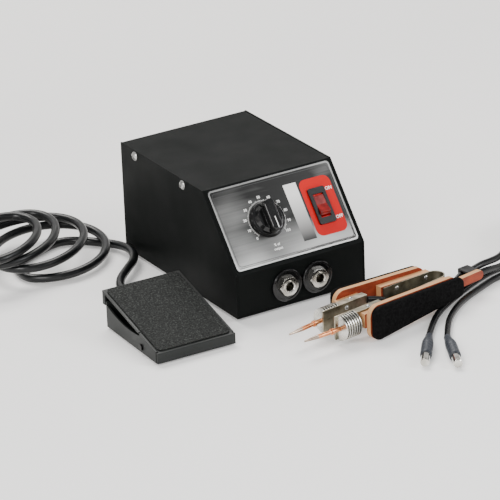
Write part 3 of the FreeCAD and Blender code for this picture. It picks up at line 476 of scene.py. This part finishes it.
TIP = metal("tip_alloy", (0.5, 0.4, 0.32), 0.25, (0.1, 1, 1), 400.0, tarnish=(0.25, 0.19, 0.15))
BLACKENED = metal("blackened_steel", (0.05, 0.05, 0.05), 0.35, tarnish=(0.02, 0.02, 0.02))
CORE = metal("laminations", (0.16, 0.16, 0.17), 0.5, (1, 30, 1), 200.0)
GLOSS_BLACK = moulded("gloss_black", (0.0025, 0.0025, 0.0027), 0.10, 0.6, coat=0.25, shine=0.4)
SATIN_BLACK = moulded("satin_black", (0.005, 0.005, 0.0054), 0.4)
RUBBER = moulded("rubber", (0.008, 0.008, 0.008), 0.7, 0.4, 700.0, 0.03)
SLEEVE = moulded("heat_shrink", (0.03, 0.034, 0.042), 0.4, 0.3, 350.0, 0.05)
BOARD_GREEN = moulded("board_green", (0.012, 0.09, 0.03), 0.35, 0.2)
WINDING = moulded("taped_winding", (0.5, 0.33, 0.08), 0.5, 0.6, 300.0, 0.1)
LAMINATE = layered_board()
FOAM = foam_rubber()
GRIT = grit_sheet()
ROCKER_RED = tinted_rocker()
CORD_VINYL = vinyl("cord_vinyl", (0.004, 0.0045, 0.005), 0.34)
LEAD_VINYL = vinyl("lead_vinyl", (0.0035, 0.0038, 0.0042), 0.24, 0.05)
WHITE_INK = plain_ink("white_ink", (0.93, 0.93, 0.91))
DARK_INK = plain_ink("dark_ink", (0.03, 0.03, 0.03))
RED_FIELD = printed("red_field", (0.50, 0.004, 0.0035), (0.60, 0.005, 0.0045), 60, 100)
PALE_FIELD = printed("pale_field", (0.03, 0.03, 0.03), (0.93, 0.92, 0.91), 57, 92)

NODE_MATERIALS = {
    "case_base": BLACK_PAINT, "case_cover": BLACK_PAINT, "case_screws": STEEL,
    "rubber_feet": RUBBER, "name_plate": PLATE, "rocker_housing": SATIN_BLACK,
    "rocker": ROCKER_RED, "control_body": STEEL, "control_nut": NICKEL, "control_shaft": STEEL,
    "control_knob": GLOSS_BLACK, "socket_bushings": NICKEL, "socket_nuts": NICKEL,
    "socket_washers": GLOSS_BLACK, "secondary_straps": COPPER, "transformer_core": CORE,
    "transformer_winding": WINDING, "transformer_bolts": STEEL, "control_board": BOARD_GREEN,
    "fuse_holder": SATIN_BLACK, "mains_inlet": SATIN_BLACK, "foot_switch_socket": SATIN_BLACK,
    "foot_base": PEDAL_PAINT, "pivot_pin": BLACKENED, "treadle": PEDAL_PAINT,
    "treadle_pad": GRIT, "return_spring": STEEL, "foot_switch_body": SATIN_BLACK,
    "foot_switch_plunger": STEEL, "foot_cord_gland": RUBBER, "foot_cord_plug": SATIN_BLACK,
    "squeeze_spring": OLIVE, "lead_clamp": BLACKENED,
}
for half in ("near", "far"):
    NODE_MATERIALS.update({
        half + "_board": LAMINATE, half + "_blocks": LAMINATE, half + "_electrode_plate": OLIVE,
        half + "_heat_sink": FIN, half + "_electrode": COPPER, half + "_electrode_tip": TIP,
        half + "_screws": STEEL, half + "_lead_plug": NICKEL,
    })


def dress_nodes():
    """Give every shown CAD node its material."""
    for name, material in NODE_MATERIALS.items():
        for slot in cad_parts[name].material_slots:
            slot.material = material


# ---------------------------------------------------------------- camera and stage

FLOOR_GAP = 0.0001            # the floor lies this far under the object's lowest face
CAMERA_AT = (-1.533, -2.589, 1.326)
CAMERA_PITCH, CAMERA_TURN, CAMERA_ROLL = 23.48, 30.75, -2.24   # degrees: down, right of +Y, tilt
CAMERA_LENS, CAMERA_SHIFT = 249.3, -0.002


def set_camera():
    data = bpy.data.cameras.new("camera")
    data.lens = CAMERA_LENS
    data.sensor_width = 36.0
    data.clip_end = 20.0
    data.shift_y = CAMERA_SHIFT
    camera = add_piece("camera", data)
    aim = Euler((math.radians(90 - CAMERA_PITCH), 0, math.radians(-CAMERA_TURN)))
    roll = Matrix.Rotation(math.radians(CAMERA_ROLL), 4, "Z")
    camera.matrix_world = Matrix.Translation(CAMERA_AT) @ aim.to_matrix().to_4x4() @ roll
    bpy.context.scene.camera = camera


def stage_material():
    g = Graph("pale_sweep")
    parts = g.node("ShaderNodeSeparateXYZ")
    g.join(g.place, parts.inputs["Vector"])
    # painted shade: the sweep's colour darkens towards the back
    along = g.range(parts.outputs["Y"], -0.5, 1.0, 0.0, 1.0)
    speck = g.noise(25.0, 3.0)
    colour = g.ramp(along, [(0.0, (0.92, 0.915, 0.905)), (0.62, (0.74, 0.73, 0.72))])
    # painted light: the sweep glows faintly through its own emission
    g.surface(emission_color=colour, emission_strength=0.3)
    return g.surface(base_color=colour, roughness=g.range(speck, 0.3, 0.7, 0.75, 0.85))


def set_stage():
    """Wide floor that curves up into a low wall all round, clear of the camera."""
    flat, curve, top, around, steps = 6.0, 1.5, 4.0, 64, 12
    profile = [(flat, 0.0)]
    for step in range(1, steps + 1):
        angle = math.radians(90 * step / steps)
        profile.append((flat + curve * math.sin(angle), curve - curve * math.cos(angle)))
    profile.append((flat + curve, top))
    headings = [2 * math.pi * k / around for k in range(around)]
    mesh = bmesh.new()
    rings = []
    for radius, height in profile:
        z = height - FLOOR_GAP
        ring = [mesh.verts.new((radius * math.cos(t), radius * math.sin(t), z)) for t in headings]
        rings.append(ring)
    mesh.faces.new(rings[0])
    for low, high in zip(rings, rings[1:]):
        for k in range(around):
            after = (k + 1) % around
            mesh.faces.new((low[k], high[k], high[after], low[after]))
    data = mesh_data("sweep", mesh)
    data.materials.append(stage_material())
    for face in data.polygons[1:]:   # the first one is the flat floor
        face.use_smooth = True
    add_piece("sweep", data)


LIGHTS = [                    # name, place, target, size, power in watts, colour
    ("top_back", (0.3, 1.5, 2.4), (0, 0, 0), (2.4, 1.6), 116, (1.0, 0.985, 0.96)),
    ("left_front", (-2.4, -1.4, 1.8), (0, 0, 0), (1.4, 1.4), 66, (1.0, 0.99, 0.97)),
    ("right_front", (1.8, -1.9, 1.5), (0, -0.05, 0), (1.2, 1.2), 42, (0.97, 0.985, 1.0)),
]


def add_light(name, place, target, size, power, colour):
    data = bpy.data.lights.new(name, "AREA")
    data.shape = "RECTANGLE"
    data.size, data.size_y = size
    data.energy = power
    data.color = colour
    light = add_piece(name, data)
    aim = (Vector(target) - Vector(place)).to_track_quat("-Z", "Y")
    light.matrix_world = Matrix.Translation(place) @ aim.to_matrix().to_4x4()


def set_lights():
    for light in LIGHTS:
        add_light(*light)
    world = bpy.data.worlds.new("studio")
    world.use_nodes = True
    background = world.node_tree.nodes["Background"]
    background.inputs["Color"].default_value = (0.9, 0.91, 0.93, 1.0)
    background.inputs["Strength"].default_value = 0.42
    bpy.context.scene.world = world


# ---------------------------------------------------------------- foot-switch cord

PER_TURN = 18                 # control points in each turn of a cord's coil
FOOT_ROUTE = [
    (-132.6, -18.3, 10.2), (-131.4, 4, 10.0), (-121, 26, 9.4), (-103.5, 43, 9.6),
    (-85, 59, 10.4), (-75.5, 82, 9.6), (-76, 105, 6.4),
]
FOOT_BACK = [
    (-84.5, 124, 4.3), (-96, 138, 4.2), (-112, 150, 4.2), (-128, 149, 4.2), (-144, 142, 4.2),
    (-162, 134, 4.2), (-180, 126, 4.2),
]
FOOT_TURNS = [                # each turn's centre, half axes and heading in degrees
    (-137, 123, 56, 49, 41),
    (-161, 134, 65, 46, 25),
    (-181, 134, 64, 37, 36),
    (-200, 121, 57, 33, 37),
]
FOOT_COILS = 3.72             # turns in all
COIL_START = 168.0            # heading at which a coil starts, in degrees, here and for the leads
FOOT_LIFT, FOOT_CLIMB = 8.6, 8.6   # rise over the first half turn, and over each turn after it
FOOT_TAIL = [(-211, 157, 38), (-226, 163, 30), (-236, 177, 18), (-239, 194, 9.6), (-239, 208, 8.3)]


def turn_at(count):
    """Centre, half axes and heading part way through the turns."""
    here = min(max(count - 0.5, 0.0), len(FOOT_TURNS) - 1.0)
    low = min(int(here), len(FOOT_TURNS) - 2)
    share = here - low
    return [a + (b - a) * share for a, b in zip(FOOT_TURNS[low], FOOT_TURNS[low + 1])]


def foot_coil():
    """Fanned turns, anticlockwise from above, each lying over the one before."""
    points = []
    steps = round(FOOT_COILS * PER_TURN)
    for step in range(steps + 1):
        count = FOOT_COILS * step / steps
        cx, cy, major, minor, heading = turn_at(count)
        angle, lean = math.radians(COIL_START + 360 * count), math.radians(heading)
        along, side = major * math.cos(angle), minor * math.sin(angle)
        x = cx + along * math.cos(lean) - side * math.sin(lean)
        y = cy + along * math.sin(lean) + side * math.cos(lean)
        z = FOOT_CORD_R + FOOT_LIFT * min(count / 0.5, 1.0) + FOOT_CLIMB * max(count - 0.5, 0.0)
        points.append((x, y, z))
    return points


def make_foot_cord():
    points = FOOT_ROUTE + FOOT_BACK + foot_coil() + FOOT_TAIL
    cord = cord_curve("foot_switch_cord", points, FOOT_CORD_R, CORD_VINYL)
    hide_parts("foot_cord", "foot_cord_coil")
    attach(cord, "base")


# ---------------------------------------------------------------- leads

LEAD_OUT = {                  # from the handpiece's clamp, in the handpiece's frame
    "near": [
        (133.9, -10.9, 15.6), (141, -10.0, 15.8), (151, -9.2, 15.6), (165, -7.0, 12.6),
        (177, -3.0, 10.2), (192, 6, 10.4), (208, 21, 9.8),
    ],
    "far": [
        (133.9, -4.3, 18.2), (141, -3.6, 19.0), (151, -3.0, 19.8), (164, -1.6, 18.6),
        (178, 1.5, 17.4), (193, 10, 17.6), (208, 24, 18.6),
    ],
}
LEAD_BACK = {                 # from the coil to the sleeve, in the bench frame
    "near": [
        (250, -166, 7.5), (229, -160, 4.2), (209, -151.5, 3.2), (184, -150, 3.2), (153, -162, 3.2),
        (120, -178.5, 3.2), (89, -197, 3.2), (67, -217.5, 3.2), (51.2, -236.1, 3.55),
    ],
    "far": [
        (250, -170, 17), (229, -172, 9), (206, -166, 3.8), (179, -164.2, 3.2), (149, -176.5, 3.2),
        (117, -191.5, 3.2), (91, -212, 3.2), (75, -231, 3.2), (62.7, -248.3, 3.55),
    ],
}
LEAD_TAIL = {                 # from the electrode plate to the clamp, in the handpiece's frame
    "near": [
        (15.2, -8.1, 22.8), (28, -7.6, 20), (41, -5.6, 13), (56, -4.2, 6.4), (74, -3.9, 4.4),
        (90, -4.7, 4.2), (104, -7.8, 5.2), (114, -10.4, 11), (122.5, -10.9, 15.6),
    ],
    "far": [
        (15.2, 8.1, 22.8), (28, 7.6, 20), (41, 5.6, 13), (56, 4.2, 6.4), (74, 3.6, 4.4),
        (90, 2.4, 4.2), (105, -0.8, 5.2), (114, -3.6, 12.5), (122.5, -4.3, 18.2),
    ],
}
COIL_AT = (272.0, -122.0)
COIL_BASE = {"near": 3.2, "far": 16.0}
COIL_LAYER, COIL_PITCH, COIL_OUT = 6.5, 6.6, 43.3   # rise between layers, pitch, outer radius
COIL_TURNS, COIL_STEP = 2.358, 0.16   # turns in each layer, and the part of a turn taken to rise


def coil_points(base):
    """Round coil, clockwise from above: inwards on the lower layer, outwards on the upper."""
    points = []
    steps = round(2 * COIL_TURNS * PER_TURN)
    for step in range(steps + 1):
        count = 2 * COIL_TURNS * step / steps
        inward = min(count, 2 * COIL_TURNS - count)
        radius = COIL_OUT - COIL_PITCH * inward
        climb = min(max((count - COIL_TURNS) / COIL_STEP, 0.0), 1.0)
        angle = math.radians(COIL_START - 360 * count)
        x = COIL_AT[0] + radius * math.cos(angle)
        y = COIL_AT[1] + radius * math.sin(angle)
        points.append((x, y, base + COIL_LAYER * climb))
    return points


def make_leads():
    for half in ("near", "far"):
        out = [hand_point(*point) for point in LEAD_OUT[half]]
        points = out + coil_points(COIL_BASE[half]) + LEAD_BACK[half]
        lead = cord_curve(half + "_lead_cord", points, LEAD_R, LEAD_VINYL)
        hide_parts(half + "_lead", half + "_lead_coil")
        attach(lead, "base")
        sleeve = make_sleeve(half)


SLEEVE_R, SLEEVE_L, SLEEVE_TAPER = 5.4, 45.0, 24.0
SLEEVE_WALL, SLEEVE_GAP = 0.3, 0.05   # thickness over the lead, and height above the bench
LEAD_AIM = {"near": (-0.615, -0.788), "far": (-0.43, -0.903)}


def make_sleeve(half):
    """Heat-shrunk sleeve: snug on the lead, wider over the plug, with a few shrink ripples."""
    start = Vector(LEAD_BACK[half][-1])
    flat = Vector((*LEAD_AIM[half], 0)).normalized()
    side = flat.cross(Vector((0, 0, 1))).normalized()
    stations, around = 44, 28
    ripple, ripple_rate = 0.10, 1.1
    rolled_in = 0.25   # how far the two end rings turn in
    mesh = bmesh.new()
    rings = []
    for k in range(stations + 1):
        along = SLEEVE_L * k / stations
        share = min(along / SLEEVE_TAPER, 1.0)
        ease = share * share * (3 - 2 * share)
        radius = LEAD_R + SLEEVE_WALL + (SLEEVE_R - LEAD_R - SLEEVE_WALL) * ease
        radius += ripple * math.sin(along * ripple_rate) * math.sin(math.pi * k / stations)
        if k in (0, stations):
            radius -= rolled_in
        middle = start + flat * along
        height = start.z + (SLEEVE_R + SLEEVE_GAP - start.z) * ease
        middle.z = max(height, radius + SLEEVE_GAP)
        ring = []
        for j in range(around):
            angle = 2 * math.pi * j / around
            out = side * math.cos(angle) + Vector((0, 0, 1)) * math.sin(angle)
            ring.append(mesh.verts.new((middle + out * radius) * MM))
        rings.append(ring)
    for low, high in zip(rings, rings[1:]):
        bridge(mesh, low, high)
    mesh.faces.new(list(reversed(rings[0])))
    mesh.faces.new(rings[-1])
    bmesh.ops.recalc_face_normals(mesh, faces=mesh.faces)
    data = mesh_data(half + "_sleeve", mesh)
    smooth_faces(data)
    sleeve = finish_piece(add_piece(half + "_sleeve", data), SLEEVE, "base")
    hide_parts(half + "_lead_sleeve")
    return sleeve


def make_tails():
    """Leads inside the handpiece; the near one is attached to the base, the far one to no body."""
    for half in ("near", "far"):
        points = [hand_point(*point) for point in LEAD_TAIL[half]]
        curve = cord_curve(half + "_tail_line", points, LEAD_R, LEAD_VINYL)
        data = bpy.data.meshes.new_from_object(curve)
        bpy.data.objects.remove(curve)
        smooth_faces(data)
        tail = add_piece(half + "_lead_tail", data)
        if half == "near":
            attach(tail, "base")
        else:
            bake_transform(tail)
        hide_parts("lead_tails")


# ---------------------------------------------------------------- springs

def flexing_copy(node, material, slot, bodies, start, end):
    """A copy of a spring's own shape in the given material, in place of its CAD node; the two
    bodies and the two points are not used.
    """
    piece = add_piece(node + "_flexing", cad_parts[node].data.copy())
    piece.data.materials.clear()
    piece.data.materials.append(material)
    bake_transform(piece)
    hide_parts(node)


def make_springs():
    """Copies of the squeeze spring and of the return spring in their own shapes; neither one bends.
    """
    reach, mid_height = 0.9 * LEAF_Y, 17
    bend = [Vector(hand_point(LEAF_BEND_U, y, mid_height)) * MM for y in (reach, -reach)]
    flexing_copy("squeeze_spring", OLIVE, "olive_nickel", ("far_handle", "base"), *bend)
    low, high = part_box("return_spring")
    middle = (Vector(low) + Vector(high)) / 2
    ends = [(middle.x, middle.y, z) for z in (low[2], high[2])]
    flexing_copy("return_spring", STEEL, "steel", ("base", "treadle"), *ends)


# ---------------------------------------------------------------- name plate printing

PLATE_MIDDLE_S = 44.4         # the name plate's middle, up the slope
DIAL_FIRST, DIAL_LAST = 222.0, -42.0   # headings of the scale's two ends, in degrees
NUMERAL_R, TICK_IN, TICK_OUT, LONG_TICK_OUT = 22.4, 18.2, 19.3, 19.9
TICK_W, TICK_H, LONG_EVERY = 0.3, 0.02, 5


def patch(x, s, width, height, radius):
    """Rounded rectangle centred on (x, s)."""
    return [(x + dx, s + ds) for dx, ds in rounded_outline(width, height, radius)]


def make_printing():
    border = patch(0, PLATE_MIDDLE_S, 125.5, 73.0, 3.2)
    rim = patch(0, PLATE_MIDDLE_S, 130.2, 78.4, 3.2)
    film("plate_border", strip_line(border + border[:2], 0.55), DARK_INK, thick=0.02)
    film("plate_rim", strip_line(rim + rim[:2], 1.5), PLATE_RIM, thick=0.015)
    film("red_patch", patch(43.3, 43.7, 33.4, 56.6, 7.0), RED_FIELD)
    film("pale_band", [(10.6, 15.4), (24.6, 15.4), (24.6, 72), (10.6, 72)], PALE_FIELD)
    lettering("on_mark", "ON", 55.4, 58.6, 4.6, WHITE_INK)
    lettering("off_mark", "OFF", 55.4, 29.6, 4.4, WHITE_INK)
    make_dial()
    lettering("caption_percent", "% of", -17.5, 19.6, 3.4, WHITE_INK)
    lettering("caption_output", "output", -17.5, 15.6, 3.4, WHITE_INK)


def on_dial(share, radius):
    """Name-plate point at a share of the scale and a distance from the knob's axis."""
    angle = math.radians(DIAL_FIRST + (DIAL_LAST - DIAL_FIRST) * share)
    return DIAL_X + radius * math.cos(angle), DIAL_S + radius * math.sin(angle)


def make_dial():
    """Scale round the knob: a numeral every ten per cent, a tick at each, longer at every fifth."""
    for tens in range(11):
        x, s = on_dial(tens / 10, NUMERAL_R)
        lettering("dial_%d" % (10 * tens), str(10 * tens), x, s, 3.6, WHITE_INK)
    for k in range(101):
        outer = TICK_OUT if k % LONG_EVERY else LONG_TICK_OUT
        ends = [on_dial(k / 100, radius) for radius in (TICK_IN, outer)]
        film("tick_%03d" % k, strip_line(ends, TICK_W), WHITE_INK, thick=TICK_H)


# ---------------------------------------------------------------- foam pads

FOAM_VOXEL, FOAM_PASSES = 1.0 * MM, 3


def make_foam(half):
    """Foam grip pad: its CAD solid, evenly meshed and smoothed until its edges are soft."""
    piece = add_piece(half + "_foam_pad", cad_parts[half + "_foam"].data.copy())
    piece.data.materials.clear()
    remesh = piece.modifiers.new("even", "REMESH")
    remesh.mode = "VOXEL"
    remesh.voxel_size = FOAM_VOXEL
    depsgraph = bpy.context.evaluated_depsgraph_get()
    data = bpy.data.meshes.new_from_object(piece.evaluated_get(depsgraph))
    piece.modifiers.clear()
    mesh = bmesh.new()
    mesh.from_mesh(data)
    for _ in range(FOAM_PASSES):
        bmesh.ops.smooth_vert(
            mesh, verts=mesh.verts, factor=0.5, use_axis_x=True, use_axis_y=True, use_axis_z=True,
        )
    mesh.to_mesh(data)
    mesh.free()
    smooth_faces(data)
    piece.data = data
    finish_piece(piece, FOAM, "base" if half == "near" else "far_handle")
    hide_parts(half + "_foam")


# ---------------------------------------------------------------- small detail

def make_knob_line():
    """White pointer line along the lower end of the knob's bar."""
    inner, outer, width, proud = -2.5, -13.6, 0.8, 0.04
    outline = [(DIAL_X + x, DIAL_S + s) for x, s in strip_line([(0, inner), (0, outer)], width)]
    line = prism("knob_line", outline, KNOB_TOP, KNOB_TOP + proud, ON_SLOPE)
    finish_piece(line, WHITE_INK, "knob")


def make_rear_rim():
    """Rolled rim along the top of the foot base's rear wall, across its whole width."""
    middle, low, top, half, width, steps = 97.1, 23.6, 26.0, 0.9, 80.0, 8
    arc = [math.radians(180 * k / steps) for k in range(steps + 1)]
    outline = [(middle + half * math.cos(t), top + half * math.sin(t)) for t in arc]
    outline += [(middle - half, low), (middle + half, low)]
    across = Matrix(((0, 0, 1, 0), (1, 0, 0, 0), (0, 1, 0, 0), (0, 0, 0, 1)))   # prism's z along x
    rim = prism("foot_base_rim", outline, 0.0, width, ON_FOOT @ across)
    finish_piece(rim, PEDAL_PAINT, "base")


set_camera()
set_stage()
set_lights()
dress_nodes()
make_foot_cord()
make_leads()
make_tails()
make_springs()
make_printing()
make_foam("near")
make_foam("far")
make_knob_line()
make_rear_rim()
